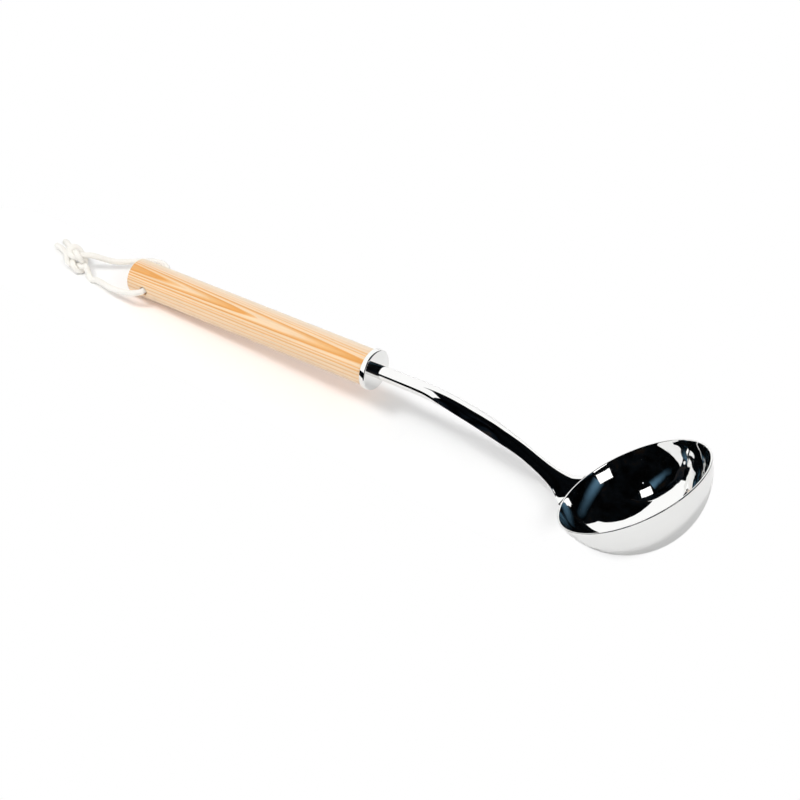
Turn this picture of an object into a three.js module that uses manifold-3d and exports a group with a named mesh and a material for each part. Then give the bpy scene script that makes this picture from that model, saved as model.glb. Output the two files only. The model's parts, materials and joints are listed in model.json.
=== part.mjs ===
// Sauna ladle: a polished steel bowl on a forged stem, a steel ferrule, a turned pine handle
// and a cotton loop to hang it by.
// Millimetres, +Z up. The ladle lies on the bowl's underside and the handle's end, with its length along X.

import * as THREE from 'three';
import { mergeVertices } from 'three/addons/utils/BufferGeometryUtils.js';
import Module from 'manifold-3d';

const wasm = await Module();
wasm.setup();

const { degToRad } = THREE.MathUtils;

// Handle: a turned round with a softened butt and a blind bore for the tang
const HANDLE_DIAMETER = 22;
const HANDLE_LENGTH = 180;
const BUTT_CHAMFER = 0.8;

// Cross hole near the butt, which the cord runs through
const CORD_HOLE_DIAMETER = 5.6;
const CORD_HOLE_INSET = 13.4;

// Ferrule: a thick washer, proud of the wood, with a rounded front edge
const FERRULE_DIAMETER = 24.6;
const FERRULE_THICKNESS = 3.5;
const FERRULE_EDGE_RADIUS = 0.9;

// Tang: the stem's thin end, fixed in the handle's bore
const TANG_DIAMETER = 6;
const TANG_DEPTH = 60;
const BORE_CLEARANCE = 0.3;
const BORE_END_ROOM = 2;

// Stem: round at the ferrule, fuller along the bend, then forged into a half-oval strip with an arched top
const STEM_ROOT_DIAMETER = 8.4;
const STEM_FULL_DIAMETER = 9.8;
const STEM_BEND_RADIUS = 170;
const STRIP_WIDTH = 13;
const STRIP_RISE = 3.75;
const STRIP_UNDERSIDE = 0.9;
const STRIP_START = 104;
const STRIP_END = 70;

// Neck: the strip's flat oval end, which flares out under the bowl's rim
const NECK_SLOPE = degToRad(27);
const NECK_REACH = 131.6;
const NECK_DROP = 30;
const NECK_WAIST_WIDTH = 10;
const NECK_RIM_WIDTH = 28.6;
const NECK_THICKNESS = 4.4;
const NECK_FLARE_LENGTH = 7.2;
const NECK_FLAT_START = 60;
const NECK_FLAT_END = 28;

// Tongue: the neck's end, lapped on the outside of the bowl below the rim
const TONGUE_LENGTH = 12;
const TONGUE_END_THICKNESS = 3.4;
const TONGUE_SWEEP = degToRad(84);

// Bowl: a spherical cap of sheet with a rounded rim, pitched up from the handle's line
const BOWL_DIAMETER = 90;
const BOWL_DEPTH = 34.5;
const BOWL_WALL = 1.2;
const BOWL_PITCH = degToRad(27.5);

// Cord: a soft cotton loop through the cross hole, closed by a knot with two short tails
const CORD_DIAMETER = 4;
const KNOT_DIAMETER = 11.2;
const KNOT_WRAPS = 3;

// Gap left between two pieces that are seated on each other
const SEAT_GAP = 0.3;

// Facets: sides go round a piece, and steps go along its profile or its line.
// The bowl's counts put a level facet of it, and not a ridge, on the surface that the ladle lies on.
const TURNED_SIDES = 40;
const EDGE_STEPS = 5;
const BOWL_SIDES = 56;
const BOWL_STEPS = 17;
const LIP_STEPS = 6;
const STEM_SIDES = 24;
const STEM_STEPS = 42;
const TONGUE_STEPS = 8;
const SEAT_SIDES = 96;
const SEAT_STEPS = 64;
const CORD_SIDES = 8;
const LOOP_STEPS = 56;
const TAIL_STEPS = 8;
const KNOT_SIDES = 20;
const WRAP_STEPS = 4;

// The stem's rings stand closer together towards the flare, by this power
const RING_CROWDING = 1.4;

const handleRadius = HANDLE_DIAMETER / 2;
const cordRadius = CORD_DIAMETER / 2;
const knotRadius = KNOT_DIAMETER / 2;
const tangRadius = TANG_DIAMETER / 2;
const boreRadius = tangRadius + BORE_CLEARANCE;
const boreDepth = TANG_DEPTH + BORE_END_ROOM;

// Stations along the handle's axis, from the butt
const ferruleBack = HANDLE_LENGTH + SEAT_GAP;
const ferruleFace = ferruleBack + FERRULE_THICKNESS;
const stemShoulder = ferruleFace + SEAT_GAP;

// The bowl's outer sphere, from its rim and its depth
const rimRadius = BOWL_DIAMETER / 2;
const sphereRadius = (rimRadius ** 2 + BOWL_DEPTH ** 2) / (2 * BOWL_DEPTH);
const sphereRise = sphereRadius - BOWL_DEPTH;

// Points in the ladle's side view: x along the handle's axis, y up from it
const rimLow = new THREE.Vector2(ferruleFace + NECK_REACH, -NECK_DROP);
const rimOutward = new THREE.Vector2(Math.cos(BOWL_PITCH), Math.sin(BOWL_PITCH));
const bowlUp = new THREE.Vector2(-Math.sin(BOWL_PITCH), Math.cos(BOWL_PITCH));
const rimCentre = rimLow.clone().addScaledVector(rimOutward, rimRadius);
const sphereCentre = rimCentre.clone().addScaledVector(bowlUp, sphereRise);

const steel = { color: 0xd9d9d6, roughness: 0.08, metalness: 1 };
const wood = { color: 0xf0c796, roughness: 0.6, metalness: 0 };
const cotton = { color: 0xf3f0e9, roughness: 0.95, metalness: 0 };

function makeMesh(name, geometry, finish) {
  const mesh = new THREE.Mesh(geometry, new THREE.MeshStandardMaterial(finish));
  mesh.name = name;
  return mesh;
}

// Points of an arc in a profile, both ends included
function arcPoints(centreX, centreY, radius, from, to, steps) {
  const points = [];
  for (let i = 0; i <= steps; i += 1) {
    const angle = from + ((to - from) * i) / steps;
    points.push(new THREE.Vector2(centreX + radius * Math.cos(angle), centreY + radius * Math.sin(angle)));
  }
  return points;
}

// A profile of (radius, distance along X) turned round the X axis
function turn(profile, sides = TURNED_SIDES) {
  return new THREE.LatheGeometry(profile, sides).rotateZ(-Math.PI / 2);
}

// A closed geometry as a solid, with shared corners merged and collapsed triangles left out
function toSolid(geometry) {
  const bare = geometry.clone();
  bare.deleteAttribute('normal');
  bare.deleteAttribute('uv');
  const merged = mergeVertices(bare, 1e-4);
  const corners = merged.index.array;
  const triangles = [];
  for (let i = 0; i < corners.length; i += 3) {
    const [a, b, c] = [corners[i], corners[i + 1], corners[i + 2]];
    if (a !== b && b !== c && c !== a) {
      triangles.push(a, b, c);
    }
  }
  const vertProperties = new Float32Array(merged.attributes.position.array);
  const triVerts = new Uint32Array(triangles);
  return new wasm.Manifold(new wasm.Mesh({ numProp: 3, vertProperties, triVerts }));
}

function fromSolid(solid) {
  const { vertProperties, triVerts } = solid.getMesh();
  const geometry = new THREE.BufferGeometry();
  geometry.setAttribute('position', new THREE.BufferAttribute(new Float32Array(vertProperties), 3));
  geometry.setIndex(new THREE.BufferAttribute(new Uint32Array(triVerts), 1));
  geometry.computeVertexNormals();
  return geometry;
}

// A skin over rings with the same number of points, closed by a fan at each end
function loft(rings) {
  const sides = rings[0].length;
  const centreOf = (ring) => ring.reduce((sum, p) => sum.add(p), new THREE.Vector3()).divideScalar(sides);
  const points = [...rings.flat(), centreOf(rings[0]), centreOf(rings.at(-1))];
  const firstCentre = points.length - 2;
  const lastCentre = points.length - 1;
  const lastRing = (rings.length - 1) * sides;
  const index = [];
  for (let j = 0; j < sides; j += 1) {
    const next = (j + 1) % sides;
    for (let i = 0; i < lastRing; i += sides) {
      index.push(i + j, i + sides + next, i + sides + j);
      index.push(i + j, i + next, i + sides + next);
    }
    index.push(firstCentre, next, j);
    index.push(lastCentre, lastRing + j, lastRing + next);
  }
  const geometry = new THREE.BufferGeometry().setFromPoints(points);
  geometry.setIndex(index);
  geometry.computeVertexNormals();
  return geometry;
}

// Handle: butt chamfer, straight round and blind bore in one profile, then the cross hole
function handleGeometry() {
  const boreEnd = HANDLE_LENGTH - boreDepth;
  const round = turn([
    new THREE.Vector2(0, 0),
    new THREE.Vector2(handleRadius - BUTT_CHAMFER, 0),
    new THREE.Vector2(handleRadius, BUTT_CHAMFER),
    new THREE.Vector2(handleRadius, HANDLE_LENGTH),
    new THREE.Vector2(boreRadius, HANDLE_LENGTH),
    new THREE.Vector2(boreRadius, boreEnd),
    new THREE.Vector2(0, boreEnd),
  ]);
  const holeRadius = CORD_HOLE_DIAMETER / 2;
  const drill = new THREE.CylinderGeometry(holeRadius, holeRadius, 2 * HANDLE_DIAMETER, TURNED_SIDES);
  drill.translate(CORD_HOLE_INSET, 0, 0);
  return fromSolid(toSolid(round).subtract(toSolid(drill)));
}

// Ferrule: a ring with a flat back on the wood and a rounded front edge
function ferruleGeometry() {
  const outer = FERRULE_DIAMETER / 2;
  const edge = FERRULE_EDGE_RADIUS;
  const profile = [
    new THREE.Vector2(boreRadius, 0),
    new THREE.Vector2(outer, 0),
    ...arcPoints(outer - edge, FERRULE_THICKNESS - edge, edge, 0, Math.PI / 2, EDGE_STEPS),
    new THREE.Vector2(boreRadius, FERRULE_THICKNESS),
    new THREE.Vector2(boreRadius, 0),
  ];
  return turn(profile).translate(ferruleBack, 0, 0);
}

// Bowl: outer wall, rounded rim and inner wall, turned round its own axis with the rim in the XY plane
function bowlGeometry() {
  const rimAngle = Math.acos(-sphereRise / sphereRadius) - Math.PI / 2;
  const lipRadius = BOWL_WALL / 2;
  const lipDistance = sphereRadius - lipRadius;
  const lipX = lipDistance * Math.cos(rimAngle);
  const lipY = sphereRise - lipDistance * Math.sin(rimAngle);
  const wall = (radius, from, to) => arcPoints(0, sphereRise, radius, from, to, BOWL_STEPS);
  const profile = [
    ...wall(sphereRadius, -Math.PI / 2, -rimAngle),
    ...arcPoints(lipX, lipY, lipRadius, -rimAngle, Math.PI - rimAngle, LIP_STEPS).slice(1, -1),
    ...wall(sphereRadius - BOWL_WALL, -rimAngle, -Math.PI / 2),
  ];
  profile[0].x = 0;
  profile.at(-1).x = 0;
  return new THREE.LatheGeometry(profile, BOWL_SIDES, Math.PI / BOWL_SIDES).rotateX(Math.PI / 2);
}

// The stem's line in the side view: straight from the ferrule, one bend, then straight down to the rim
function stemLine() {
  const up = new THREE.Vector2(Math.sin(NECK_SLOPE), Math.cos(NECK_SLOPE));
  const forward = new THREE.Vector2(Math.cos(NECK_SLOPE), -Math.sin(NECK_SLOPE));
  const end = rimLow.clone().addScaledVector(up, -NECK_THICKNESS / 2);
  const corner = end.x + end.y / Math.tan(NECK_SLOPE);
  const bendStart = corner - STEM_BEND_RADIUS * Math.tan(NECK_SLOPE / 2);
  const line = new THREE.Path();
  line.moveTo(stemShoulder, 0);
  line.lineTo(bendStart, 0);
  line.absarc(bendStart, -STEM_BEND_RADIUS, STEM_BEND_RADIUS, Math.PI / 2, Math.PI / 2 - NECK_SLOPE, true);
  line.lineTo(end.x, end.y);
  return { line, end, forward, length: line.getLength() };
}

// The stem's half width and its thickness above and below its line, at a distance before the rim.
// Its arch is 0 for an oval top and 1 for the strip's top, which meets its underside in two sharp edges.
function stemSection(toRim, length) {
  const { lerp, smoothstep } = THREE.MathUtils;
  const swell = smoothstep(length - toRim, 0, length - NECK_FLAT_START);
  const forged = 1 - smoothstep(toRim, STRIP_END, STRIP_START);
  const flat = 1 - smoothstep(toRim, NECK_FLAT_END, NECK_FLAT_START);
  const flare = Math.exp(-Math.max(toRim, 0) / NECK_FLARE_LENGTH);
  const radius = lerp(STEM_ROOT_DIAMETER / 2, STEM_FULL_DIAMETER / 2, swell);
  const blend = (strip, neck) => lerp(lerp(radius, strip, forged), neck, flat);
  return {
    halfWidth: lerp(blend(STRIP_WIDTH / 2, NECK_WAIST_WIDTH / 2), NECK_RIM_WIDTH / 2, flare),
    above: blend(STRIP_RISE, NECK_THICKNESS / 2),
    below: blend(STRIP_UNDERSIDE, NECK_THICKNESS / 2),
    arch: forged * (1 - flat),
    dish: flare,
  };
}

// A ring square to the stem's line, its sides raised to the bowl's own curve by its dish
function stemRing(place, slope, section) {
  const ring = [];
  for (let j = 0; j < STEM_SIDES; j += 1) {
    const angle = (2 * Math.PI * j) / STEM_SIDES;
    const y = section.halfWidth * Math.cos(angle);
    const rise = Math.sin(angle);
    const half = rise > 0 ? section.above * rise ** (1 + section.arch) : section.below * rise;
    const lift = half + (section.dish * y * y) / (2 * sphereRadius);
    ring.push(new THREE.Vector3(place.x + lift * Math.sin(slope), y, place.y + lift * Math.cos(slope)));
  }
  return ring;
}

// Stem: tang, shoulder, bent round, flared neck and lapped tongue, cut to seat on the bowl
function stemGeometry() {
  const { line, end, forward, length } = stemLine();
  const round = (x, radius) => {
    const section = { halfWidth: radius, above: radius, below: radius, arch: 0, dish: 0 };
    return stemRing(new THREE.Vector2(x, 0), 0, section);
  };
  const rings = [round(HANDLE_LENGTH - TANG_DEPTH, tangRadius), round(stemShoulder, tangRadius)];
  for (let i = 0; i <= STEM_STEPS; i += 1) {
    const along = 1 - (1 - i / STEM_STEPS) ** RING_CROWDING;
    const direction = line.getTangent(along);
    const slope = Math.atan2(-direction.y, direction.x);
    rings.push(stemRing(line.getPoint(along), slope, stemSection(length * (1 - along), length)));
  }
  const atRim = stemSection(0, length);
  for (let i = 1; i <= TONGUE_STEPS; i += 1) {
    const share = Math.sin((i / TONGUE_STEPS) * TONGUE_SWEEP);
    const place = end.clone().addScaledVector(forward, TONGUE_LENGTH * share);
    const thickness = THREE.MathUtils.lerp(NECK_THICKNESS, TONGUE_END_THICKNESS, share);
    const halfWidth = atRim.halfWidth * Math.sqrt(1 - share ** 2);
    const section = { ...atRim, halfWidth, below: thickness - atRim.above };
    rings.push(stemRing(place, NECK_SLOPE, section));
  }
  const ball = new THREE.SphereGeometry(sphereRadius + SEAT_GAP, SEAT_SIDES, SEAT_STEPS);
  ball.translate(sphereCentre.x, 0, sphereCentre.y);
  return fromSolid(toSolid(loft(rings)).subtract(toSolid(ball)));
}

// A round tube along a smooth line through chosen points
function cordGeometry(points, steps) {
  const section = new THREE.Shape();
  section.absarc(0, 0, cordRadius, 0, 2 * Math.PI);
  const extrudePath = new THREE.CatmullRomCurve3(points.map((p) => new THREE.Vector3(...p)));
  const settings = { steps, extrudePath, curveSegments: CORD_SIDES, bevelEnabled: false };
  return new THREE.ExtrudeGeometry(section, settings);
}

// Knot: wraps of cord side by side round X, which the strands run into and the tails come out of
function knotGeometry() {
  const wrapCentre = knotRadius - cordRadius;
  const half = (KNOT_WRAPS * CORD_DIAMETER) / 2;
  const profile = [new THREE.Vector2(0, -half)];
  for (let i = 0; i < KNOT_WRAPS; i += 1) {
    const middle = (i + 0.5) * CORD_DIAMETER - half;
    const from = i === 0 ? -90 : -60;
    const to = i === KNOT_WRAPS - 1 ? 90 : 60;
    profile.push(...arcPoints(wrapCentre, middle, cordRadius, degToRad(from), degToRad(to), WRAP_STEPS));
  }
  profile.push(new THREE.Vector2(0, half));
  return turn(profile, KNOT_SIDES);
}

// Cord lines from the middle of the cross hole, with the surface that the ladle lies on below them.
// The loop starts at the knot, comes to the near side, passes through the handle and goes back.
const KNOT_PLACE = [-63.8, -2.4, -6.5];
const LOOP_LINE = [
  [-57.5, -4.6, -7.4], [-55.5, -4.6, -7.4], [-51.2, -6.8, -9.5], [-46.3, -9, -10.1], [-39.6, -11.1, -9.5],
  [-33.3, -12.9, -8.2], [-27, -14.6, -6.7], [-20.3, -15.9, -4.9], [-14, -16.6, -3.1], [-8.4, -16.5, -1.6],
  [-4.2, -15.3, -0.7], [-1.2, -12.8, -0.2], [-0.1, -9, 0], [0, -4.5, 0], [0, 0, 0], [0, 4.5, 0], [-0.1, 9, 0],
  [-1.1, 12.8, -0.1], [-3.9, 15.6, -0.4], [-8.4, 17.4, -1], [-14, 18.1, -1.9], [-20.3, 18.4, -3.5],
  [-26.8, 17.8, -5.3], [-33, 16.6, -7], [-39, 14.6, -8.5], [-45, 11.5, -9.7], [-50.2, 7.2, -10],
  [-53.8, 2.4, -8.5], [-55.5, -0.2, -7.4], [-57.5, -0.2, -7.4],
];
const TAIL_LINES = [
  [[-70.1, -4, -6.2], [-72.1, -4, -6.2], [-76, -3.6, -8], [-81.5, -2.6, -9.7], [-87.5, -1.4, -10.1]],
  [[-70.1, 0, -8.4], [-72.1, 0, -8.4], [-76, 0.6, -9.8], [-81, 1.6, -10.1], [-86, 2.8, -10.1]],
];

function hangingLoop() {
  const loop = new THREE.Group();
  const knot = makeMesh('cord_knot', knotGeometry(), cotton);
  knot.position.set(...KNOT_PLACE);
  loop.add(makeMesh('cord_loop', cordGeometry(LOOP_LINE, LOOP_STEPS), cotton), knot);
  for (const [i, line] of TAIL_LINES.entries()) {
    loop.add(makeMesh(`cord_tail_${i + 1}`, cordGeometry(line, TAIL_STEPS), cotton));
  }
  return loop;
}

// The ladle's nose-up tilt when the butt's lower edge and the bowl's sphere lie on one flat surface
function restTilt() {
  const run = sphereCentre.x - BUTT_CHAMFER;
  const rise = sphereCentre.y + handleRadius;
  return Math.asin(sphereRadius / Math.hypot(run, rise)) - Math.atan2(rise, run);
}

const bowl = makeMesh('bowl', bowlGeometry(), steel);
bowl.position.set(rimCentre.x, 0, rimCentre.y);
bowl.rotation.y = -BOWL_PITCH;

const rigid = new THREE.Group();
rigid.add(
  bowl,
  makeMesh('stem', stemGeometry(), steel),
  makeMesh('ferrule', ferruleGeometry(), steel),
  makeMesh('handle', handleGeometry(), wood),
);
rigid.rotation.y = -restTilt();

const ladle = new THREE.Group();
ladle.add(rigid);
ladle.updateMatrixWorld(true);

// Origin at the middle of the rigid pieces' length, on the surface that they lie on
const box = new THREE.Box3().setFromObject(rigid, true);
rigid.position.set(-(box.min.x + box.max.x) / 2, 0, -box.min.z);

const loop = hangingLoop();
rigid.updateMatrixWorld(true);
loop.position.copy(rigid.localToWorld(new THREE.Vector3(CORD_HOLE_INSET, 0, 0)));
ladle.add(loop);

export default ladle;
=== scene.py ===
import json
import math

import bmesh
import bpy
import numpy as np
from mathutils import Matrix, Vector


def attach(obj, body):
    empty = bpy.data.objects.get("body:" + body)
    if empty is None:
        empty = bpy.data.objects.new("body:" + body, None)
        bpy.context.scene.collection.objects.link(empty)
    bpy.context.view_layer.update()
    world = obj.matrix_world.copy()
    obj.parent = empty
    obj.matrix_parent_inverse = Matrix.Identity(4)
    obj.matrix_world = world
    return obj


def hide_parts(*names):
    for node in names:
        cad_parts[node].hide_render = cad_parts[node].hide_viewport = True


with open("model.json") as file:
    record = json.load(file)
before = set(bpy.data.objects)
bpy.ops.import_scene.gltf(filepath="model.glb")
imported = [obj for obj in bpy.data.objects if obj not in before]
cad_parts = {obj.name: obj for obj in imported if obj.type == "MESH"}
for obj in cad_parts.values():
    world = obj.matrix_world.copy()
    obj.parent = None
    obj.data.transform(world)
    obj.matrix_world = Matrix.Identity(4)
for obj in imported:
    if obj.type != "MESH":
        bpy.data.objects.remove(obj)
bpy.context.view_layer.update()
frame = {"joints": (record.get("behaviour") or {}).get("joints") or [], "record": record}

# Sizes of the solids, in millimetres, in the handle's own frame: x along its axis from the butt
MM = 0.001
HANDLE_RADIUS = 11.0
HANDLE_LENGTH = 180.0
BUTT_ROUND = 0.9
HOLE_INSET = 13.4
HOLE_RADIUS = 2.8
SEAT_GAP = 0.3
FERRULE_RADIUS = 12.3
FERRULE_THICKNESS = 3.5
FERRULE_ROUND = 0.9
BORE_RADIUS = 3.3
STEM_ROOT = 4.2
STEM_FULL = 4.9
STEM_BEND = 170.0
STRIP_HALF = 6.5
STRIP_RISE = 3.75
STRIP_UNDERSIDE = 0.9
STRIP_START = 104.0
STRIP_END = 70.0
NECK_SLOPE = math.radians(27)
NECK_REACH = 131.6
NECK_DROP = 30.0
NECK_WAIST = 5.0
NECK_RIM = 14.3
NECK_THICKNESS = 4.4
NECK_FLARE = 7.2
NECK_FLAT_START = 60.0
NECK_FLAT_END = 28.0
TONGUE_LENGTH = 12.0
TONGUE_END = 3.4
BOWL_RIM = 45.0
BOWL_DEPTH = 34.5
BOWL_WALL = 1.2
BOWL_PITCH = math.radians(27.5)

FERRULE_BACK = HANDLE_LENGTH + SEAT_GAP
FERRULE_FACE = FERRULE_BACK + FERRULE_THICKNESS
SPHERE = (BOWL_RIM**2 + BOWL_DEPTH**2) / (2 * BOWL_DEPTH)
SPHERE_RISE = SPHERE - BOWL_DEPTH
RIM_LOW = np.array([FERRULE_FACE + NECK_REACH, -NECK_DROP])
RIM_CENTRE = RIM_LOW + BOWL_RIM * np.array([math.cos(BOWL_PITCH), math.sin(BOWL_PITCH)])
SPHERE_CENTRE = RIM_CENTRE + SPHERE_RISE * np.array([-math.sin(BOWL_PITCH), math.cos(BOWL_PITCH)])

# Where the handle lies: its butt's centre and its nose-up tilt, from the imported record
BUTT = next(m for m in frame["record"]["mounts"] if m["name"] == "butt_face")
TILT = math.asin(-BUTT["axis"][2])
HANDLE_PLACE = Matrix.Translation(BUTT["pos_m"]) @ Matrix.Rotation(-TILT, 4, "Y")
BOWL_PLACE = (
    HANDLE_PLACE
    @ Matrix.Translation((RIM_CENTRE[0] * MM, 0, RIM_CENTRE[1] * MM))
    @ Matrix.Rotation(-BOWL_PITCH, 4, "Y")
)
HOLE_CENTRE = np.array(frame["joints"][0]["pos_m"])


# Camera at the photograph's viewing angle, with a shift for its framing


def aim(obj, place, target):
    """Puts obj at place, with its -Z axis towards target."""
    obj.location = place
    obj.rotation_mode = "QUATERNION"
    obj.rotation_quaternion = (Vector(target) - Vector(place)).to_track_quat("-Z", "Y")


def direction(azimuth, elevation):
    """A unit vector: azimuth turns from +X towards +Y, and elevation is above the horizon, in degrees."""
    a, e = math.radians(azimuth), math.radians(elevation)
    return Vector((math.cos(a) * math.cos(e), math.sin(a) * math.cos(e), math.sin(e)))


VIEW_TARGET = Vector((-0.00672, 0.0, 0.02478))
VIEW_DISTANCE = 1.2
VIEW_AZIMUTH, VIEW_ELEVATION = 36.39 - 90, 41.89
LENS, SENSOR_WIDTH = 94.26, 36.0
SHIFT_X, SHIFT_Y = 0.01678, -0.02409
CLIP_START, CLIP_END = 0.01, 100.0
camera = bpy.data.objects.new("camera", bpy.data.cameras.new("camera"))
camera.data.lens, camera.data.sensor_width = LENS, SENSOR_WIDTH
camera.data.shift_x, camera.data.shift_y = SHIFT_X, SHIFT_Y
camera.data.clip_start, camera.data.clip_end = CLIP_START, CLIP_END
aim(camera, VIEW_TARGET + VIEW_DISTANCE * direction(VIEW_AZIMUTH, VIEW_ELEVATION), VIEW_TARGET)
bpy.context.scene.collection.objects.link(camera)
bpy.context.scene.camera = camera
bpy.context.scene.view_settings.view_transform = "Standard"


# Mesh helpers

SHARP_ANGLE = 40
ON_AXIS = 1e-9
SPLINE_STEPS = 24
SQUARE = ((-1, -1), (1, -1), (1, 1), (-1, 1))
QUAD = [(0, 1, 2, 3)]


def smooth_shade(mesh, sharp=SHARP_ANGLE):
    """Smooth shading, with the edges that turn by more than sharp degrees kept sharp."""
    mesh.shade_smooth()
    mesh.set_sharp_from_angle(angle=math.radians(sharp))


def mesh_object(name, verts, faces, place=None, sharp=SHARP_ANGLE):
    """A smooth-shaded mesh object from points in metres, moved by place."""
    mesh = bpy.data.meshes.new(name)
    mesh.from_pydata([tuple(v) for v in verts], [], faces)
    if place is not None:
        mesh.transform(place)
    work = bmesh.new()
    work.from_mesh(mesh)
    bmesh.ops.recalc_face_normals(work, faces=work.faces)
    work.to_mesh(mesh)
    work.free()
    smooth_shade(mesh, sharp)
    obj = bpy.data.objects.new(name, mesh)
    bpy.context.scene.collection.objects.link(obj)
    return obj


def arc(centre, radius, start, end, steps):
    """Points of an arc in a profile, angles in degrees, both ends included."""
    angles = np.radians(np.linspace(start, end, steps + 1))
    return [(centre[0] + radius * math.cos(a), centre[1] + radius * math.sin(a)) for a in angles]


def turned(profile, sides, along="x"):
    """Vertices and faces of (radius, height) points in millimetres turned round an axis.

    A point on the axis is a pole.
    """
    verts, faces, rows = [], [], []
    for radius, height in profile:
        count = sides if radius > ON_AXIS else 1
        row = []
        for j in range(count):
            a = 2 * math.pi * j / sides
            p = (radius * math.cos(a) * MM, radius * math.sin(a) * MM, height * MM)
            row.append(len(verts))
            verts.append((p[2], p[0], p[1]) if along == "x" else p)
        rows.append(row)
    for low, high in zip(rows, rows[1:]):
        for j in range(sides):
            k = (j + 1) % sides
            if len(low) == 1 and len(high) == 1:
                continue
            if len(low) == 1:
                faces.append((low[0], high[j], high[k]))
            elif len(high) == 1:
                faces.append((low[j], high[0], low[k]))
            else:
                faces.append((low[j], high[j], high[k], low[k]))
    return verts, faces


def skin(rings):
    """Vertices and faces over rings of points, closed by a fan at each end."""
    rings = np.asarray(rings, float)
    count, sides = rings.shape[:2]
    verts = [*rings.reshape(-1, 3), rings[0].mean(0), rings[-1].mean(0)]
    first, last = len(verts) - 2, len(verts) - 1
    faces = []
    for j in range(sides):
        k = (j + 1) % sides
        for i in range(0, (count - 1) * sides, sides):
            faces.append((i + j, i + k, i + sides + k, i + sides + j))
        faces.append((first, k, j))
        faces.append((last, (count - 1) * sides + j, (count - 1) * sides + k))
    return verts, faces


def smooth_line(points, step):
    """A centripetal spline through points, resampled about step apart, and the length along it at each."""

    def between(a, b, low, high, at):
        return (high - at) / (high - low) * a + (at - low) / (high - low) * b

    p = np.asarray(points, float)
    p = np.vstack([2 * p[0] - p[1], p, 2 * p[-1] - p[-2]])
    line = []
    for a, b, c, d in zip(p, p[1:], p[2:], p[3:]):
        t = np.cumsum([0.0, *(np.linalg.norm(v) ** 0.5 for v in (b - a, c - b, d - c))])
        for s in np.linspace(t[1], t[2], SPLINE_STEPS, endpoint=False):
            q1 = between(a, b, t[0], t[1], s)
            q2 = between(b, c, t[1], t[2], s)
            q3 = between(c, d, t[2], t[3], s)
            r1 = between(q1, q2, t[0], t[2], s)
            r2 = between(q2, q3, t[1], t[3], s)
            line.append(between(r1, r2, t[1], t[2], s))
    line = np.array([*line, p[-2]])
    along = np.concatenate([[0], np.cumsum(np.linalg.norm(np.diff(line, axis=0), axis=1))])
    at = np.linspace(0, along[-1], max(2, round(along[-1] / step)) + 1)
    return np.stack([np.interp(at, along, line[:, k]) for k in range(3)], axis=1), at


# Cord: two halves of one cotton braid, each from the middle of the cross hole, through the knot and out
# of it. The lines are in millimetres from the hole's centre

NEAR_LINE = [
    (0, 0, 0), (0, -4.5, 0), (-0.1, -9, 0), (-1.2, -12.8, -0.2), (-4.2, -15.3, -0.7), (-8.4, -16.5, -1.6),
    (-14, -16.6, -3.1), (-20.3, -15.9, -4.9), (-27, -14.6, -6.7), (-33.3, -12.9, -8.2), (-39, -11.7, -9.5),
    (-42.6, -12.5, -10.2), (-49.9, -9.1, -5.4), (-51.7, -9.5, -6.2), (-53.7, -9.5, -6.7), (-55.6, -9.2, -7.2),
    (-57.4, -9.4, -8), (-59.2, -10.2, -8.4), (-60.9, -11, -7.9), (-62.4, -11.4, -6.6), (-63.5, -11.1, -5),
    (-64.2, -10, -3.5), (-64.7, -8.5, -2.3), (-65.2, -7, -1), (-65.2, -5.1, -0.2), (-64.4, -3.3, -0.3),
    (-63.1, -2.1, -1.2), (-61.7, -1.8, -2.6), (-60.1, -1.7, -3.9), (-58.5, -1.8, -5.1), (-56.9, -2.3, -6.2),
    (-55.5, -3.3, -7.1), (-54.5, -4.9, -8), (-53.9, -6.5, -9), (-53.7, -8.2, -10), (-54, -10.2, -10.2),
    (-54.7, -11.8, -9.4), (-55.8, -12.7, -7.9), (-57, -12.5, -6.3), (-58.3, -11.4, -5.2), (-59.5, -9.9, -4.9),
    (-60.9, -8.5, -5.2), (-62.7, -7.7, -5.8), (-64.7, -7.4, -6), (-66.7, -6.9, -6.2), (-71.2, -5.2, -6.5),
    (-76, -3, -7.5), (-80.3, -1.2, -8.9), (-83.6, 0, -10.2),
]
FAR_LINE = [
    (0, 0, 0), (0, 4.5, 0), (-0.1, 9, 0), (-1.1, 12.8, -0.1), (-3.9, 15.6, -0.4), (-8.3, 17.3, -1),
    (-13.5, 17.6, -1.9), (-19, 17.1, -3.5), (-24.5, 15.5, -5.2), (-29.6, 13.1, -6.4), (-34.7, 9.8, -6.9),
    (-40, 5.7, -6.4), (-49.8, -2.5, -1.1), (-51.5, -3.6, -1), (-53.1, -4.8, -1), (-54.6, -6, -0.9),
    (-56, -7.3, -1.4), (-57, -8.9, -1.9), (-58.5, -10.1, -1.5), (-60.2, -10.4, -0.6), (-61.7, -9.6, 0.4),
    (-62.5, -8.1, 1.3), (-62.3, -6.1, 1.6), (-61.4, -4.5, 1.2), (-60.1, -3.5, 0.2), (-58.7, -3.6, -1.2),
    (-57.5, -4.2, -2.6), (-56.2, -4.9, -3.9), (-54.7, -6.1, -4.4), (-53.6, -7.5, -3.8), (-53, -8.8, -2.5),
    (-53.4, -9.6, -0.7), (-54.6, -9.7, 0.8), (-56.3, -9.1, 1.6), (-57.9, -8.1, 1.4), (-59.2, -7.1, 0.3),
    (-60.4, -6.7, -1.2), (-61.8, -5.8, -2.3), (-63.3, -5, -3.2), (-65, -4.1, -3.8), (-66.8, -3.2, -4.3),
    (-70.7, -0.7, -5.3), (-74.8, 1.9, -6.7), (-78.6, 4.3, -8.6), (-81.8, 6, -10.2),
]
CORD_RADIUS = 1.9
CORD_SIDES = 32
CORD_STEP = 0.32
BRAID_STRANDS = 8
BRAID_PITCH = 2.6
BRAID_RELIEF = 0.16
BRAID_FULLNESS = 0.7
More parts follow.
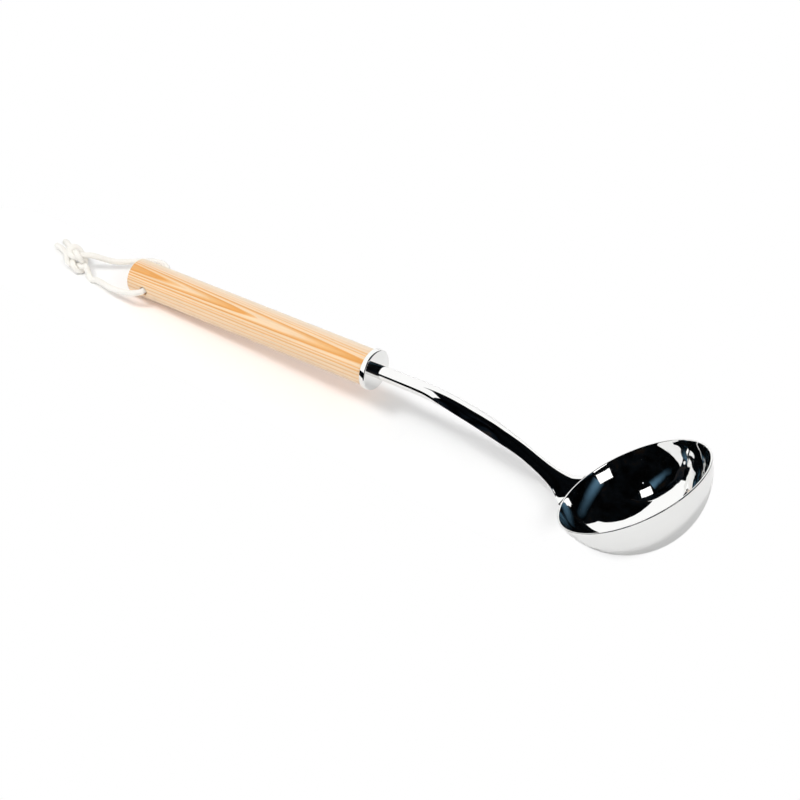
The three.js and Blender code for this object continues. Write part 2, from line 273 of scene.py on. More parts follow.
# A cut end has this share of the radius, and the share grows by 1 over this many millimetres
CUT_SHARE, CUT_LENGTH = 0.55, 1.2


def braided(name, points):
    """A braided tube along points from the hole's centre, and its path and length in metres."""
    line, at = smooth_line(points, CORD_STEP)
    tangent = np.gradient(line, axis=0)
    tangent /= np.linalg.norm(tangent, axis=1)[:, None]
    side = np.cross(tangent[0], (0.0, 0.0, 1.0))
    a = 2 * np.pi * np.arange(CORD_SIDES) / CORD_SIDES
    wave = BRAID_STRANDS * a / 2
    rings = []
    for p, t, s in zip(line, tangent, at):
        side = side - side.dot(t) * t
        side /= np.linalg.norm(side)
        up = np.cross(t, side)
        shift = np.pi * s / BRAID_PITCH
        relief = np.abs(np.sin(wave + shift) * np.sin(wave - shift)) ** BRAID_FULLNESS
        end = min(1.0, CUT_SHARE + (at[-1] - s) / CUT_LENGTH)
        radius = (CORD_RADIUS - BRAID_RELIEF * (1 - relief)) * end
        rings.append(p + radius[:, None] * (np.outer(np.cos(a), side) + np.outer(np.sin(a), up)))
    rings = np.array(rings) * MM + HOLE_CENTRE
    obj = mesh_object(name, *skin(rings), sharp=180)
    layer = obj.data.uv_layers.new(name="braid")
    around = [*np.tile(np.arange(CORD_SIDES) / CORD_SIDES, len(rings)), 0.0, 0.0]
    along = np.array([*np.repeat(at, CORD_SIDES), at[0], at[-1]]) / (2 * math.pi * CORD_RADIUS)
    for loop in obj.data.loops:
        layer.data[loop.index].uv = (around[loop.vertex_index], along[loop.vertex_index])
    return obj, line * MM + HOLE_CENTRE, at[-1] * MM


cord_near, near_path, near_length = braided("cord_near", NEAR_LINE)
cord_far, far_path, far_length = braided("cord_far", FAR_LINE)
for cord, path, length in ((cord_near, near_path, near_length), (cord_far, far_path, far_length)):
    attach(cord, "hanging_loop")
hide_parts("cord_loop", "cord_knot", "cord_tail_1")
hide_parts("cord_tail_2")


# Bowl: outer wall, rounded lip and inner wall, turned round its own axis

BOWL_SIDES = 192
BOWL_STEPS = 56
LIP_STEPS = 12
to_rim = math.asin(SPHERE_RISE / SPHERE)
rim_angle = math.degrees(to_rim)
lip = SPHERE - BOWL_WALL / 2
lip_centre = (lip * math.cos(to_rim), SPHERE_RISE - lip * math.sin(to_rim))
bowl_profile = [
    *arc((0, SPHERE_RISE), SPHERE, -90, -rim_angle, BOWL_STEPS),
    *arc(lip_centre, BOWL_WALL / 2, -rim_angle, 180 - rim_angle, LIP_STEPS)[1:-1],
    *arc((0, SPHERE_RISE), SPHERE - BOWL_WALL, -rim_angle, -90, BOWL_STEPS),
]
bowl_profile[0] = (0, bowl_profile[0][1])
bowl_profile[-1] = (0, bowl_profile[-1][1])
bowl = mesh_object("bowl_polished", *turned(bowl_profile, BOWL_SIDES, "z"), BOWL_PLACE, sharp=80)
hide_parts("bowl")


# Stem: a bent bar, round at the ferrule, then forged to a half-oval strip, then flattened and flared
# under the rim. Its tongue is let into the bowl's wall

STEM_SIDES = 96
STEM_STEPS = 180
TONGUE_STEPS = 28
# Rings lie closer together towards the rim, by this power, and the tongue stops just short of a point
STEM_CROWDING = 1.4
TONGUE_SWEEP = math.radians(88)


def smoothstep(x, low, high):
    t = min(1.0, max(0.0, (x - low) / (high - low)))
    return t * t * (3 - 2 * t)


def lerp(a, b, t):
    return a + (b - a) * t


def stem_rings():
    """Rings of points from the ferrule to the tongue's end, in millimetres in the handle's frame."""
    up = np.array([math.sin(NECK_SLOPE), math.cos(NECK_SLOPE)])
    forward = np.array([math.cos(NECK_SLOPE), -math.sin(NECK_SLOPE)])
    end = RIM_LOW - up * NECK_THICKNESS / 2
    start = np.array([FERRULE_FACE - SEAT_GAP, 0.0])
    bend_start = end[0] + end[1] / math.tan(NECK_SLOPE) - STEM_BEND * math.tan(NECK_SLOPE / 2)
    bend_end = np.array([bend_start, -STEM_BEND]) + STEM_BEND * up
    straight = bend_start - start[0]
    bend = STEM_BEND * NECK_SLOPE
    length = straight + bend + np.linalg.norm(end - bend_end)

    def place(s):
        if s <= straight:
            return start + np.array([s, 0.0]), 0.0
        if s <= straight + bend:
            a = (s - straight) / STEM_BEND
            return np.array([bend_start, -STEM_BEND]) + STEM_BEND * np.array([math.sin(a), math.cos(a)]), a
        return bend_end + forward * (s - straight - bend), NECK_SLOPE

    def section(to_rim):
        """Half width, height above and below the line, arch of the top and dish of the underside."""
        swell = smoothstep(length - to_rim, 0, length - NECK_FLAT_START)
        forged = 1 - smoothstep(to_rim, STRIP_END, STRIP_START)
        flat = 1 - smoothstep(to_rim, NECK_FLAT_END, NECK_FLAT_START)
        flare = math.exp(-max(to_rim, 0) / NECK_FLARE)
        radius = lerp(STEM_ROOT, STEM_FULL, swell)

        def blend(strip, neck):
            return lerp(lerp(radius, strip, forged), neck, flat)

        width = lerp(blend(STRIP_HALF, NECK_WAIST), NECK_RIM, flare)
        above = blend(STRIP_RISE, NECK_THICKNESS / 2)
        below = blend(STRIP_UNDERSIDE, NECK_THICKNESS / 2)
        return width, above, below, forged * (1 - flat), flare

    def ring(point, slope, width, above, below, arch, dish):
        a = 2 * np.pi * np.arange(STEM_SIDES) / STEM_SIDES
        y, rise = width * np.cos(a), np.sin(a)
        half = np.where(rise > 0, above * np.abs(rise) ** (1 + arch), below * rise)
        lift = half + dish * y * y / (2 * SPHERE)
        return np.stack([point[0] + lift * math.sin(slope), y, point[1] + lift * math.cos(slope)], axis=1)

    rings = []
    for i in range(STEM_STEPS + 1):
        s = length * (1 - (1 - i / STEM_STEPS) ** STEM_CROWDING)
        rings.append(ring(*place(s), *section(length - s)))
    width, above, _, arch, dish = section(0)
    for i in range(1, TONGUE_STEPS + 1):
        share = math.sin(i / TONGUE_STEPS * TONGUE_SWEEP)
        thick = lerp(NECK_THICKNESS, TONGUE_END, share)
        point = end + forward * TONGUE_LENGTH * share
        narrowed = width * math.sqrt(1 - share**2)
        rings.append(ring(point, NECK_SLOPE, narrowed, above, thick - above, arch, dish))
    rings = np.array(rings)
    centre = np.array([SPHERE_CENTRE[0], 0.0, SPHERE_CENTRE[1]])
    away = rings - centre
    far = np.linalg.norm(away, axis=2, keepdims=True)
    in_wall = SPHERE - BOWL_WALL / 2
    return np.where(far < in_wall, centre + away * in_wall / far, rings)


stem = mesh_object("stem_polished", *skin(stem_rings() * MM), HANDLE_PLACE, sharp=45)
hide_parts("stem")


# Ferrule: a thick washer with a rounded front edge

FERRULE_SIDES = 128
BACK_ROUND = 0.15
BACK_ROUND_STEPS, FRONT_ROUND_STEPS = 3, 10
back_centre = (FERRULE_RADIUS - BACK_ROUND, FERRULE_BACK + BACK_ROUND)
front_centre = (FERRULE_RADIUS - FERRULE_ROUND, FERRULE_FACE - FERRULE_ROUND)
ferrule_profile = [
    (BORE_RADIUS, FERRULE_BACK),
    *arc(back_centre, BACK_ROUND, -90, 0, BACK_ROUND_STEPS),
    *arc(front_centre, FERRULE_ROUND, 0, 90, FRONT_ROUND_STEPS),
    (BORE_RADIUS, FERRULE_FACE),
    (BORE_RADIUS, FERRULE_BACK),
]
ferrule = mesh_object("ferrule_polished", *turned(ferrule_profile, FERRULE_SIDES), HANDLE_PLACE, sharp=30)
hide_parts("ferrule")


# Handle: a turned round with a softened butt, cut by the cross hole

HANDLE_SIDES = 128
BUTT_STEPS = 6
ROWS_START = 2.0
ROWS = 60
FRONT_CHAMFER = 0.2
DRILL_SIDES = 64
DRILL_SPARE = 3.0
handle_profile = [
    (0, 0),
    *arc((HANDLE_RADIUS - BUTT_ROUND, BUTT_ROUND), BUTT_ROUND, -90, 0, BUTT_STEPS),
    *[(HANDLE_RADIUS, x) for x in np.linspace(ROWS_START, HANDLE_LENGTH - FRONT_CHAMFER, ROWS)],
    (HANDLE_RADIUS - FRONT_CHAMFER, FERRULE_BACK),
    (0, FERRULE_BACK),
]
handle = mesh_object("handle_turned", *turned(handle_profile, HANDLE_SIDES), HANDLE_PLACE)


def cut_cross_hole(obj):
    """Takes a round hole along Y out of the handle."""
    reach = HANDLE_RADIUS + DRILL_SPARE
    profile = [(0, -reach), (HOLE_RADIUS, -reach), (HOLE_RADIUS, reach), (0, reach)]
    across = Matrix.Translation((HOLE_INSET * MM, 0, 0)) @ Matrix.Rotation(math.pi / 2, 4, "X")
    drill = mesh_object("drill", *turned(profile, DRILL_SIDES, "z"), HANDLE_PLACE @ across)
    cut = obj.modifiers.new("hole", "BOOLEAN")
    cut.operation, cut.solver, cut.object = "DIFFERENCE", "EXACT", drill
    bpy.context.view_layer.update()
    evaluated = obj.evaluated_get(bpy.context.evaluated_depsgraph_get())
    mesh = bpy.data.meshes.new_from_object(evaluated)
    obj.modifiers.clear()
    obj.data = mesh
    smooth_shade(mesh)
    bpy.data.objects.remove(drill)


cut_cross_hole(handle)
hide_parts("handle")
for piece in (bowl, stem, ferrule, handle):
    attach(piece, "ladle")


# Materials: helpers that add nodes


def material(name):
    """A new material with its tree and its Principled shader."""
    made = bpy.data.materials.new(name)
    made.use_nodes = True
    return made, made.node_tree, made.node_tree.nodes["Principled BSDF"]


def plug(tree, node, inputs):
    """Sets a node's inputs, or links them, by name or number."""
    for key, value in inputs.items():
        if isinstance(value, bpy.types.NodeSocket):
            tree.links.new(value, node.inputs[key])
        else:
            node.inputs[key].default_value = value


def add(tree, kind, inputs=None, **settings):
    """A new node with its settings and inputs."""
    made = tree.nodes.new(kind)
    for key, value in settings.items():
        setattr(made, key, value)
    plug(tree, made, inputs or {})
    return made


def maths(tree, operation, a, b=0.0, c=0.0):
    return add(tree, "ShaderNodeMath", {0: a, 1: b, 2: c}, operation=operation).outputs[0]


def distance(tree, a, b):
    """The square root of a squared plus b squared."""
    squared = maths(tree, "MULTIPLY_ADD", a, a, maths(tree, "MULTIPLY", b, b))
    return maths(tree, "SQRT", squared)


def spread(tree, value, low, high, to_low, to_high, **settings):
    """Maps low to to_low and high to to_high, and stays there beyond. Inputs 1 to 4 are these four."""
    inputs = {"Value": value, 1: low, 2: high, 3: to_low, 4: to_high}
    return add(tree, "ShaderNodeMapRange", inputs, **settings).outputs[0]


def eased(tree, value, low, high, to_low=0.0, to_high=1.0):
    """As spread, with soft ends."""
    return spread(tree, value, low, high, to_low, to_high, interpolation_type="SMOOTHSTEP")


def coordinates(tree, kind="Object"):
    return add(tree, "ShaderNodeTexCoord").outputs[kind]


def in_frame(tree, place):
    """The shaded point as it was before its piece was moved by place."""
    back = place.inverted()
    turn = {"Vector": coordinates(tree), "Location": back.translation, "Rotation": back.to_euler()}
    return add(tree, "ShaderNodeMapping", turn).outputs[0]


def split(tree, vector):
    return add(tree, "ShaderNodeSeparateXYZ", {0: vector}).outputs


def noise(tree, place, scale, detail=2.0, roughness=0.5):
    inputs = {"Vector": place, "Scale": scale, "Detail": detail, "Roughness": roughness}
    return add(tree, "ShaderNodeTexNoise", inputs).outputs["Fac"]


def grain(tree, place, scales, detail=2.0, roughness=0.5):
    """Noise with its own scale along each axis."""
    stretched = add(tree, "ShaderNodeMapping", {"Vector": place, "Scale": scales}).outputs[0]
    return noise(tree, stretched, 1.0, detail, roughness)


def ramp(tree, factor, stops):
    made = add(tree, "ShaderNodeValToRGB", {"Fac": factor})
    band = made.color_ramp
    while len(band.elements) < len(stops):
        band.elements.new(0.5)
    for element, (at, colour) in zip(band.elements, stops):
        element.position = at
        element.color = (*colour, 1.0)
    return made.outputs["Color"]


def mix(tree, factor, a, b, **settings):
    """Mixes two colours, which are a mix node's inputs 6 and 7 and its output 2."""
    return add(tree, "ShaderNodeMix", {0: factor, 6: a, 7: b}, data_type="RGBA", **settings).outputs[2]


def bump(tree, height, strength, depth):
    inputs = {"Strength": strength, "Distance": depth, "Height": height}
    return add(tree, "ShaderNodeBump", inputs).outputs["Normal"]


# Steel: smudges and scuffs change its roughness, waves its shape

STEEL = (0.86, 0.86, 0.85, 1.0)
SMUDGE_SCALE, SCUFF_SCALE, WAVE_SCALE, RIPPLE_SCALE = 90.0, 900.0, 60.0, 130.0
SMUDGED = (0.4, 0.75)
SMUDGE_ROUGHNESS = (0.02, 0.05)
SCUFF_ROUGHNESS = 0.01
WAVE_DEPTH = 0.001
# The bowl's far wall: its direction in the bowl's frame, and where the ripple starts and is full, in metres
RIPPLE_TURN = math.radians(60)
RIPPLED = (0.020, 0.036)


def polished_steel(name, waviness, ripple=0.0):
    """Mirror steel with faint smudges. Ripple is the unevenness that pressing leaves in the far wall."""
    made, tree, shader = material(name)
    place = coordinates(tree)
    smudge = noise(tree, place, SMUDGE_SCALE, detail=4.0, roughness=0.6)
    smudge = spread(tree, smudge, *SMUDGED, *SMUDGE_ROUGHNESS)
    roughness = maths(tree, "MULTIPLY_ADD", noise(tree, place, SCUFF_SCALE), SCUFF_ROUGHNESS, smudge)
    wave = noise(tree, place, WAVE_SCALE)
    if ripple:
        x, y, _ = split(tree, in_frame(tree, BOWL_PLACE))
        out = maths(tree, "MULTIPLY", y, math.sin(RIPPLE_TURN))
        out = maths(tree, "MULTIPLY_ADD", x, math.cos(RIPPLE_TURN), out)
        far_wall = eased(tree, out, *RIPPLED, 0.0, ripple)
        rippled = noise(tree, place, RIPPLE_SCALE, detail=1.0)
        wave = maths(tree, "MULTIPLY_ADD", far_wall, rippled, wave)
    plug(tree, shader, {
        "Metallic": 1.0,
        "Base Color": STEEL,
        "Roughness": roughness,
        "Normal": bump(tree, wave, waviness, WAVE_DEPTH),
    })
    return made


# Pine, in millimetres in the handle's frame: the pith lies beside the handle and drifts sideways along it,
# and the rings narrow towards the ferrule

PITH_FROM_AXIS = 30.0
PITH_TURN = math.radians(114)
PITH_DRIFT = 7.0
RING_TAPER = 0.012
RING_SPAN = (18.0, 46.0)
# Each ring's outer edge from the pith, how dark its latewood is (0 to 1), and how far that fades inwards
RINGS = [
    (19.4, 1.0, 0.9), (20.12, 1.0, 0.5), (21.05, 1.0, 0.55), (22.2, 0.45, 0.5), (23.4, 0.55, 0.8),
    (25.3, 0.35, 0.8), (27.8, 0.35, 1.0), (31.0, 0.4, 1.2), (34.5, 0.4, 1.3), (38.0, 0.4, 1.4),
]
RING_EDGE = 0.05
LATEWOOD_POWER = 0.7
# To the far, upper side of the plane through the pith, latewood gets paler and a pale tone is mixed in: a
# painted highlight where the top of the handle is lit
UPPER_LATEWOOD = 0.45
UPPER_FROM, UPPER_TO = -7.0, -3.0
PAINTED_TOP_HIGHLIGHT = (0.95, 0.78, 0.59, 1.0)
TOP_HIGHLIGHT_FROM, TOP_HIGHLIGHT_FULL, TOP_HIGHLIGHT_SHARE = -3.0, -9.0, 0.8
PINE_TONES = [(0.0, (0.90, 0.645, 0.41)), (0.45, (0.86, 0.48, 0.18)), (1.0, (0.78, 0.31, 0.03))]
# Noise scales along and across the grain, and how far the slow and the quick one move a ring
SLOW_GRAIN, QUICK_GRAIN = (9, 60, 60), (70, 500, 500)
FIBRE_GRAIN, FLECK_GRAIN = (28, 1000, 1000), (330, 1700, 1700)
SLOW_WOBBLE, QUICK_WOBBLE, MEAN_WOBBLE = 0.3, 0.1, 0.2
# The noise's range, what it multiplies the colour by, and the roughness that goes with it
FIBRES, FIBRE_SHADE, FIBRE_ROUGHNESS = (0.3, 0.7), (0.9, 1.05), (0.5, 0.64)
FLECKS, FLECK_SHADE = (0.6, 0.75), (1.0, 0.93)
FIBRE_DEPTH = 0.0001


def latewood_stops():
    """Stops of a ramp over RING_SPAN, pale in the earlywood and darkening to each ring's edge."""
    low, high = RING_SPAN
    stops = []
    for edge, dark, fade in RINGS:
        stops += [(edge - fade, 0.0), (edge - RING_EDGE, dark), (edge + RING_EDGE, 0.0)]
    return [(max(0.0, (at - low) / (high - low)), (tone,) * 3) for at, tone in stops]


def pale_pine():
    """Pine cut from beside the pith, with fine fibres and flecks, and a painted highlight along its lit top.
    """
    made, tree, shader = material("pale_pine")
    place = in_frame(tree, HANDLE_PLACE)
    x, y, z = split(tree, place)

    # How far from the pith, with the rings' taper easing off along the handle
    cos, sin = math.cos(PITH_TURN), math.sin(PITH_TURN)
    drift = PITH_DRIFT / HANDLE_LENGTH
    pith_y = maths(tree, "MULTIPLY_ADD", x, -drift * sin, PITH_FROM_AXIS * MM * cos)
    pith_z = maths(tree, "MULTIPLY_ADD", x, drift * cos, PITH_FROM_AXIS * MM * sin)
    from_pith = distance(tree, maths(tree, "SUBTRACT", y, pith_y), maths(tree, "SUBTRACT", z, pith_z))
    slow, quick = grain(tree, place, SLOW_GRAIN), grain(tree, place, QUICK_GRAIN)
    wobble = maths(tree, "MULTIPLY_ADD", quick, QUICK_WOBBLE * MM, -MEAN_WOBBLE * MM)
    wobble = maths(tree, "MULTIPLY_ADD", slow, SLOW_WOBBLE * MM, wobble)
    along = maths(tree, "MULTIPLY_ADD", maths(tree, "MULTIPLY", x, x), -1 / (2 * HANDLE_LENGTH * MM), x)
    ring = maths(tree, "MULTIPLY_ADD", along, RING_TAPER, maths(tree, "ADD", from_pith, wobble))

    # Latewood, and the painted highlight of the lit top
    low, high = RING_SPAN
    late = ramp(tree, spread(tree, ring, low * MM, high * MM, 0.0, 1.0), latewood_stops())
    late = maths(tree, "POWER", late, LATEWOOD_POWER)
    # Latewood paler on the far, upper side: part of the painted highlight of the lit top
    aside = maths(tree, "MULTIPLY_ADD", y, -sin, maths(tree, "MULTIPLY", z, cos))
    upper = spread(tree, aside, UPPER_FROM * MM, UPPER_TO * MM, UPPER_LATEWOOD, 1.0)
    colour = ramp(tree, maths(tree, "MULTIPLY", late, upper), PINE_TONES)
    # A pale tone mixed into the far, upper side: painted highlight of the lit top
    top_highlight = spread(tree, aside, TOP_HIGHLIGHT_FULL * MM, TOP_HIGHLIGHT_FROM * MM, TOP_HIGHLIGHT_SHARE, 0.0)
    colour = mix(tree, top_highlight, colour, PAINTED_TOP_HIGHLIGHT)

    # Fibres and flecks
    fibre = grain(tree, place, FIBRE_GRAIN, detail=4.0, roughness=0.65)
    fleck = spread(tree, grain(tree, place, FLECK_GRAIN, detail=1.0), *FLECKS, *FLECK_SHADE)
    shade = maths(tree, "MULTIPLY", spread(tree, fibre, *FIBRES, *FIBRE_SHADE), fleck)
    plug(tree, shader, {
        "Base Color": mix(tree, 1.0, colour, shade, blend_type="MULTIPLY"),
        "Roughness": spread(tree, fibre, *FIBRES, *FIBRE_ROUGHNESS),
        "Sheen Weight": 0.7,
        "Sheen Roughness": 0.5,
        "Sheen Tint": (1.0, 0.94, 0.86, 1.0),
        "Normal": bump(tree, fibre, strength=0.25, depth=FIBRE_DEPTH),
    })
    return made


# Cotton: yarns run along the braid's own coordinates

COTTON_TONES = [(0.25, (0.90, 0.87, 0.80)), (0.75, (0.97, 0.95, 0.91))]
COTTON_SCALE = 2400.0
YARN_GRAIN = (40, 12, 1)
YARN_DEPTH = 0.0002


def cotton_cord():
    """Matt off-white cotton."""
    made, tree, shader = material("cotton_cord")
    yarn = grain(tree, coordinates(tree, "UV"), YARN_GRAIN)
    fluff = noise(tree, coordinates(tree), COTTON_SCALE, detail=3.0, roughness=0.6)
    plug(tree, shader, {
        "Base Color": ramp(tree, fluff, COTTON_TONES),
        "Roughness": 0.95,
        "Sheen Weight": 0.25,
        "Sheen Roughness": 0.6,
        "Normal": bump(tree, yarn, strength=0.5, depth=YARN_DEPTH),
    })
    return made


def dress(made, *pieces):
    for piece in pieces:
        piece.data.materials.clear()
        piece.data.materials.append(made)


dress(polished_steel("steel_bowl", waviness=0.12, ripple=3.2), bowl)
dress(polished_steel("steel_stem", waviness=0.04), stem)
dress(polished_steel("steel_ferrule", waviness=0.02), ferrule)
dress(pale_pine(), handle)
dress(cotton_cord(), cord_near, cord_far)


# Studio: a white floor and two softboxes, and what only the steel mirrors: white screens, blue bands,
# sparks and a black flag

WHITE = (1.0, 1.0, 1.0, 1.0)
BOWL_AT = BOWL_PLACE.translation
SPHERE_AT = HANDLE_PLACE @ Vector((SPHERE_CENTRE[0] * MM, 0, SPHERE_CENTRE[1] * MM))
FLOOR_HALF = 12.0
FLOOR_WHITE = (0.93, 0.93, 0.93, 1.0)
# The shadow on the floor, in metres: the line it is kept along, where painted white covers it beside the line
# and round the bowl's foot, and how much sooner that happens on the far side
SHADOW_FROM, SHADOW_TO = -0.28, 0.085
SHADOW_FADE = (0.028, 0.050)
CONTACT_FADE = (0.010, 0.026)
FAR_SIDE_SQUEEZE = 2.2
# What is added to the shadow's colour as painted light, and the stretch under the wood where that is a
# painted warm bounce from the wood
SHADOW_LIFT = (0.065, 0.065, 0.065, 1.0)
PAINTED_BOUNCE_LIFT = (0.15, 0.08, 0.065, 1.0)
BOUNCE_FROM, BOUNCE_TO = -0.175, -0.045
BOUNCE_EASE = 0.04


def bare_material(name):
    """A new material with an empty tree."""
    made = bpy.data.materials.new(name)
    made.use_nodes = True
    made.node_tree.nodes.clear()
    return made, made.node_tree


def floor_material():
    """Matt white, and plain white where the camera sees it away from the handle and stem's line and the
    bowl's foot. That plain white is painted light over the bowl's own cast shadow.

    The shadow has a painted warm tint under the wood, standing in for light bounced from it.
    """
    made, tree = bare_material("white_floor")
    seen = add(tree, "ShaderNodeLightPath").outputs["Is Camera Ray"]
    x, y, _ = split(tree, coordinates(tree))

    # 1 away from the shadow's line and the bowl's foot, where the camera sees painted white
    nearest = maths(tree, "MINIMUM", maths(tree, "MAXIMUM", x, SHADOW_FROM), SHADOW_TO)
    far_side = maths(tree, "MULTIPLY", y, FAR_SIDE_SQUEEZE)
    aside = maths(tree, "MAXIMUM", far_side, maths(tree, "MULTIPLY", y, -1.0))
    off_line = distance(tree, maths(tree, "SUBTRACT", x, nearest), aside)
    off_foot = distance(tree, maths(tree, "SUBTRACT", x, SPHERE_AT.x), y)
    off_line, off_foot = eased(tree, off_line, *SHADOW_FADE), eased(tree, off_foot, *CONTACT_FADE)
    clear = maths(tree, "MULTIPLY", off_line, off_foot)

    # A painted warm bounce from the wood, added for the camera to the floor under the handle
    before, after = maths(tree, "SUBTRACT", BOUNCE_FROM, x), maths(tree, "SUBTRACT", x, BOUNCE_TO)
    past_wood = eased(tree, maths(tree, "MAXIMUM", before, after), 0.0, BOUNCE_EASE)
    lift = mix(tree, past_wood, PAINTED_BOUNCE_LIFT, SHADOW_LIFT)
    matt = add(tree, "ShaderNodeBsdfDiffuse", {"Color": FLOOR_WHITE}).outputs[0]
    lifted = add(tree, "ShaderNodeEmission", {"Color": lift, "Strength": seen}).outputs[0]
    shadowed = add(tree, "ShaderNodeAddShader", {0: matt, 1: lifted}).outputs[0]
    white = add(tree, "ShaderNodeEmission", {"Color": WHITE, "Strength": 1.0}).outputs[0]
    # Painted white for the camera, also over the bowl's own cast shadow
    painted_white_floor = maths(tree, "MULTIPLY", clear, seen)
    both = add(tree, "ShaderNodeMixShader", {0: painted_white_floor, 1: shadowed, 2: white}).outputs[0]
    add(tree, "ShaderNodeOutputMaterial", {"Surface": both})
    return made


floor = mesh_object("floor", [(x * FLOOR_HALF, y * FLOOR_HALF, 0.0) for x, y in SQUARE], QUAD)
dress(floor_material(), floor)


def glow_material(name, colour):
    """A plain glow."""
    made, tree = bare_material(name)
    glow = add(tree, "ShaderNodeEmission", {"Color": (*colour, 1.0), "Strength": 1.0})
    add(tree, "ShaderNodeOutputMaterial", {"Surface": glow.outputs[0]})
    return made


def soft_glow_material(name, colour, end_strength):
    """A glow that fades out to both sides of a ribbon, and towards its end."""
    made = glow_material(name, colour)
    tree = made.node_tree
    across, along, _ = split(tree, coordinates(tree, "UV"))
    aside = maths(tree, "ABSOLUTE", maths(tree, "MULTIPLY_ADD", across, 2.0, -1.0))
    to_end = spread(tree, along, 0.0, 1.0, 1.0, end_strength)
    strength = maths(tree, "MULTIPLY", eased(tree, aside, 0.0, 1.0, 1.0, 0.0), to_end)
    plug(tree, tree.nodes["Emission"], {"Strength": strength})
    return made


def murky_material(name, scale, stops):
    """Near black, with dim patches as of an unlit room."""
    made = glow_material(name, (0.0, 0.0, 0.0))
    tree = made.node_tree
    patches = noise(tree, coordinates(tree), scale, detail=6.0, roughness=0.6)
    plug(tree, tree.nodes["Emission"], {"Color": ramp(tree, patches, stops)})
    return made


def mirrored_only(name, made, corners, faces):
    """A panel of the studio that only the steel sees."""
    panel = mesh_object(name, corners, faces)
    for kind in ("camera", "diffuse", "transmission", "volume_scatter", "shadow"):
        setattr(panel, f"visible_{kind}", False)
    dress(made, panel)
    return panel


def screen(name, made, foot, other_foot, heights, other_heights):
    """An upright panel from foot to other_foot. Its heights are low and high, at each end."""
    corners = [*[(*foot, z) for z in heights], *[(*other_foot, z) for z in reversed(other_heights)]]
    mirrored_only(name, made, corners, QUAD)


def ribbon(name, made, points):
    """A band facing the bowl through points of (azimuth, elevation, width), in degrees."""
    line = [direction(azimuth, elevation) for azimuth, elevation, _ in points]
    last = len(line) - 1
    corners = []
    for i, (at, (_, _, width)) in enumerate(zip(line, points)):
        run = line[min(i + 1, last)] - line[max(i - 1, 0)]
        aside = at.cross(run).normalized() * math.tan(math.radians(width / 2))
        corners += [BOWL_AT + RIBBON_DISTANCE * (at - aside), BOWL_AT + RIBBON_DISTANCE * (at + aside)]
    faces = [(2 * i, 2 * i + 1, 2 * i + 3, 2 * i + 2) for i in range(last)]
    panel = mirrored_only(name, made, corners, faces)
    layer = panel.data.uv_layers.new(name="ribbon")
    for loop in panel.data.loops:
        layer.data[loop.index].uv = (loop.vertex_index % 2, loop.vertex_index // 2 / last)


def softbox(name, front, azimuth, elevation, width, height, power):
    """A rectangular lamp aimed at the bowl. The steel mirrors a panel of front in its place."""
    lamp = bpy.data.objects.new(name, bpy.data.lights.new(name, "AREA"))
    lamp.data.shape = "RECTANGLE"
    lamp.data.size, lamp.data.size_y = width, height
    lamp.data.energy = power
    lamp.visible_glossy = False
    aim(lamp, BOWL_AT + LAMP_DISTANCE * direction(azimuth, elevation), BOWL_AT)
    bpy.context.scene.collection.objects.link(lamp)
    place = Matrix.LocRotScale(lamp.location, lamp.rotation_quaternion, (width / 2, height / 2, 1.0))
    mirrored_only(f"{name}_front", front, [place @ Vector((x, y, 0.0)) for x, y in SQUARE], QUAD)


# Lamps: azimuth and elevation from the bowl in degrees, width and height in metres, and power in watts
LAMP_DISTANCE = 1.7
SOFTBOXES = {
    "softbox_left": (221.1, 57.0, 0.45, 0.45, 10.5),
    "softbox_right": (343.0, 50.5, 0.65, 0.39, 5.0),
}
LAMP_FRONT = glow_material("lamp_front", (1.6, 1.6, 1.6))
for name, lamp in SOFTBOXES.items():
    softbox(name, LAMP_FRONT, *lamp)

# Blue bands and sparks: azimuth, elevation and width from the bowl in degrees
RIBBON_DISTANCE = 1.9
RIBBONS = {
    "ribbon_right": [
        (0, 51, 21), (16, 52, 20), (30, 51, 18), (43, 48, 17), (54, 44, 15), (72, 31, 13), (80, 20, 11),
    ],
    "ribbon_left": [(231, 47, 17), (232, 38, 16), (231, 30, 14), (230, 21, 12), (226, 13, 10)],
}
SPARKS = [(249, 54), (234, 34), (200, 50), (202, 29)]
SPARK_HALF, SPARK_WIDTH = 0.8, 1.8
BLUE_CLOTH = soft_glow_material("blue_cloth", (0.085, 0.175, 0.26), end_strength=0.04)
SPARK = glow_material("spark", (0.9, 0.95, 1.0))
for name, points in RIBBONS.items():
    ribbon(name, BLUE_CLOTH, points)
for number, (azimuth, elevation) in enumerate(SPARKS):
    ends = (elevation - SPARK_HALF, elevation + SPARK_HALF)
    ribbon(f"spark_{number}", SPARK, [(azimuth, end, SPARK_WIDTH) for end in ends])

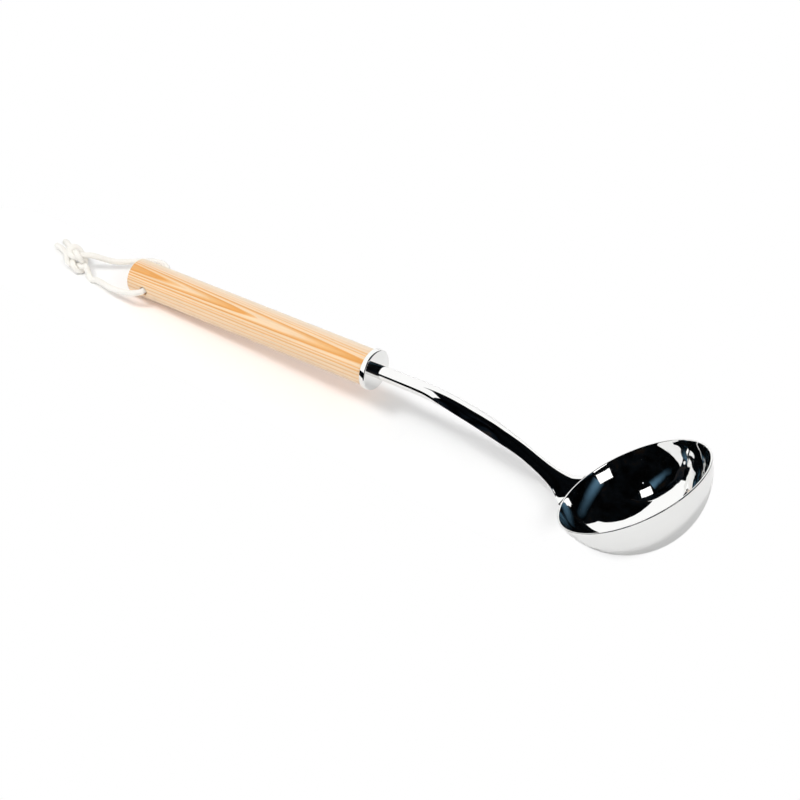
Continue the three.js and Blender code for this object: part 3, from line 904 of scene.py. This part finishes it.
# Screens and the flag: feet on the floor and heights in metres
SCREEN_CORNER = (-0.535, -0.239)
BACK_END, BACK_HEIGHTS = (0.158, 1.065), (0, 0.92)
SIDE_END, SIDE_HEIGHTS, SIDE_END_HEIGHTS = (0.002, -0.0535), (0.05, 1.17), (0.042, 0.09)
FLAG_START, FLAG_END, FLAG_HEIGHTS = (-0.30, -0.161), (0.075, -0.032), (0, 0.6)
FLAG_SCALE = 14.0
FLAG_TONES = [(0.45, (0.0, 0.0, 0.0)), (0.58, (0.005, 0.008, 0.012)), (0.72, (0.06, 0.04, 0.025))]
WHITE_PAPER = glow_material("white_paper", (1.12, 1.12, 1.12))
BLACK_FLAG = murky_material("black_flag", FLAG_SCALE, FLAG_TONES)
screen("screen_back", WHITE_PAPER, SCREEN_CORNER, BACK_END, BACK_HEIGHTS, BACK_HEIGHTS)
screen("screen_side", WHITE_PAPER, SCREEN_CORNER, SIDE_END, SIDE_HEIGHTS, SIDE_END_HEIGHTS)
screen("screen_flag", BLACK_FLAG, FLAG_START, FLAG_END, FLAG_HEIGHTS, FLAG_HEIGHTS)

# World: an even fill, white behind the floor, and a dim room in the steel
FILL = 0.6
ROOM_SCALE = 3.0
ROOM_TONES = [(0.42, (0.0005,) * 3), (0.58, (0.002, 0.003, 0.004)), (0.72, (0.008, 0.005, 0.003))]


def studio_world():
    """A world that is one thing to the camera, one to the steel and one to all else."""
    made = bpy.data.worlds.new("studio")
    made.use_nodes = True
    tree = made.node_tree
    tree.nodes.clear()

    def background(colour, strength=1.0):
        return add(tree, "ShaderNodeBackground", {"Color": colour, "Strength": strength}).outputs[0]

    def choose(ray, otherwise, then):
        return add(tree, "ShaderNodeMixShader", {0: path.outputs[ray], 1: otherwise, 2: then}).outputs[0]

    path = add(tree, "ShaderNodeLightPath")
    patches = noise(tree, coordinates(tree, "Generated"), ROOM_SCALE, detail=5.0, roughness=0.6)
    room = background(ramp(tree, patches, ROOM_TONES))
    around = choose("Is Glossy Ray", background(WHITE, FILL), room)
    add(tree, "ShaderNodeOutputWorld", {"Surface": choose("Is Camera Ray", around, background(WHITE))})
    return made


bpy.context.scene.world = studio_world()
